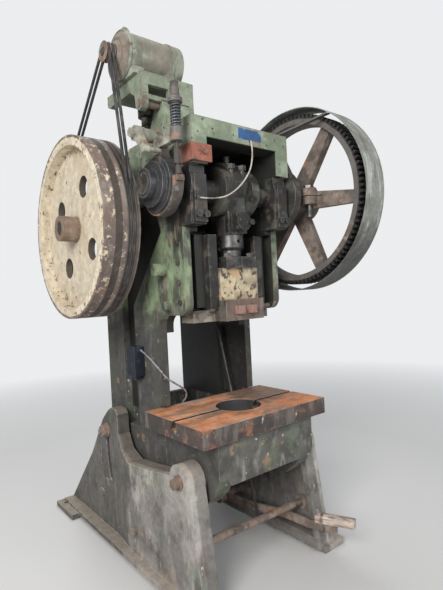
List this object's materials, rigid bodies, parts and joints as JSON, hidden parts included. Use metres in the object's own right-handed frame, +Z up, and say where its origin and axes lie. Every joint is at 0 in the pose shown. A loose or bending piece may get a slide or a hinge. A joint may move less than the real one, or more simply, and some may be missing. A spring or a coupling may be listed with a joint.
{
  "type": "mechanical stamping press",
  "caption": "Open-back inclinable crank press on two cast legs, with an open spur gear drive, dished flywheel, motor on top, ram with die clamp, round-holed bolster and foot treadle.",
  "frame": {"origin": "on the floor, at the centre of the four anchor-bolt holes in the feet", "axes": "+X to the right of an operator who faces the press, +Y to the back of the press, +Z up"},
  "size_m": [1.26, 1.796, 2.5885],
  "materials": {
    "cast_grey_green": "worn green paint over cast iron, rubbed to grey",
    "green_paint": "faded green paint with oil stains and chips",
    "dark_oily": "black, oily cast iron",
    "rusty_iron": "brown rust on iron",
    "bright_steel": "worn bright steel",
    "bolster_rust": "orange surface rust on planed iron",
    "cream_paint": "chipped cream paint over iron",
    "red_paint": "faded red paint",
    "grey_paint": "thin grey paint with dirt",
    "belt_rubber": "matt black rubber",
    "box_plastic": "dark blue-black moulded box",
    "cord_plastic": "grey plastic sheath",
    "oil_tube": "pale plastic tube",
    "bare_wood": "pale, dry, split wood",
    "spring_steel": "dark blue-grey spring steel",
    "bronze": "dull bronze"
  },
  "bodies": {
    "stand": {"left_leg": "cast_grey_green", "right_leg": "cast_grey_green", "tie_rod": "rusty_iron", "pivot_bolts": "rusty_iron", "treadle_shaft": "rusty_iron"},
    "treadle": {"treadle_lever": "rusty_iron", "treadle_board": "bare_wood"},
    "frame_body": {"frame": "green_paint", "clamp_bolts": "rusty_iron", "bolster": "bolster_rust", "bolster_bolts": "dark_oily", "left_gib": "dark_oily", "right_gib": "dark_oily", "gib_screws": "dark_oily", "left_bearing_cap": "dark_oily", "right_bearing_cap": "dark_oily", "cap_nuts": "bright_steel", "stop_bracket": "red_paint", "oil_pipe": "oil_tube", "gear_guard": "grey_paint", "guard_stays": "grey_paint", "brake_bracket": "cast_grey_green", "brake_band": "rusty_iron", "brake_lever": "rusty_iron", "brake_rod": "bright_steel", "brake_spring": "spring_steel", "spring_cap": "bright_steel", "hinge_rod": "rusty_iron", "motor_plate": "green_paint", "plate_screw": "dark_oily", "motor_body": "green_paint", "motor_bells": "green_paint", "motor_bolts": "rusty_iron", "belt_1": "belt_rubber", "belt_2": "belt_rubber", "switch_box": "box_plastic", "switch_cable": "cord_plastic", "shaft_bearings": "bronze"},
    "crank_body": {"crankshaft": "dark_oily", "brake_drum": "dark_oily", "drum_key": "dark_oily", "clutch_body": "dark_oily", "crank_nut": "rusty_iron"},
    "gear_body": {"gear": "rusty_iron", "gear_bush": "bronze", "hub_bolts": "bright_steel"},
    "countershaft_body": {"countershaft": "bright_steel", "flywheel": "cream_paint", "pinion": "dark_oily", "shaft_nuts": "rusty_iron"},
    "motor_rotor": {"motor_shaft": "bright_steel", "motor_pulley": "rusty_iron"},
    "ram": {"slide": "cream_paint", "pitman": "dark_oily", "pitman_cap": "dark_oily", "ball_screw": "bright_steel", "lock_nut": "bright_steel", "ball_cap": "bright_steel", "shank_clamp": "rusty_iron"},
    "rod_body": {"pull_rod": "dark_oily"}
  },
  "joints": [
    {"name": "frame_tilt", "type": "hinge", "parent": "stand", "child": "frame_body", "pos_m": [0, -0.6, 0.532], "axis": [-1, 0, 0], "range_deg": [0, 20]},
    {"name": "gear_spin", "type": "hinge", "parent": "frame_body", "child": "gear_body", "pos_m": [0.505, -0.545, 1.817], "axis": [-1, 0, 0], "continuous": true},
    {"name": "countershaft_spin", "type": "hinge", "parent": "frame_body", "child": "countershaft_body", "pos_m": [0, -0.03, 1.68763], "axis": [-1, 0, 0], "continuous": true},
    {"name": "motor_spin", "type": "hinge", "parent": "frame_body", "child": "motor_rotor", "pos_m": [-0.25, -0.305, 2.473], "axis": [-1, 0, 0], "continuous": true},
    {"name": "crank_turn", "type": "hinge", "parent": "frame_body", "child": "crank_body", "pos_m": [0, -0.545, 1.817], "axis": [-1, 0, 0], "range_deg": [0, 180]},
    {"name": "ram_slide", "type": "slide", "parent": "frame_body", "child": "ram", "axis": [0, 0, 1], "range_m": [-0.08, 0]},
    {"name": "treadle_press", "type": "hinge", "parent": "stand", "child": "treadle", "pos_m": [0, -0.17, 0.16], "axis": [1, 0, 0], "range_deg": [0, 4], "stiffness_Nm_per_rad": 400, "springref_deg": -4.58},
    {"name": "rod_pull", "type": "slide", "parent": "frame_body", "child": "rod_body", "axis": [0, -0.2588, -0.9659], "range_m": [0, 0.0205]}
  ],
  "couplings": [
    {"joint": "countershaft_spin", "follows": "gear_spin", "ratio": -5.5556},
    {"joint": "motor_spin", "follows": "gear_spin", "ratio": -65.616},
    {"joint": "ram_slide", "follows": "crank_turn", "m_per_rad": -0.025465},
    {"joint": "rod_pull", "follows": "treadle_press", "m_per_rad": 0.285}
  ]
}
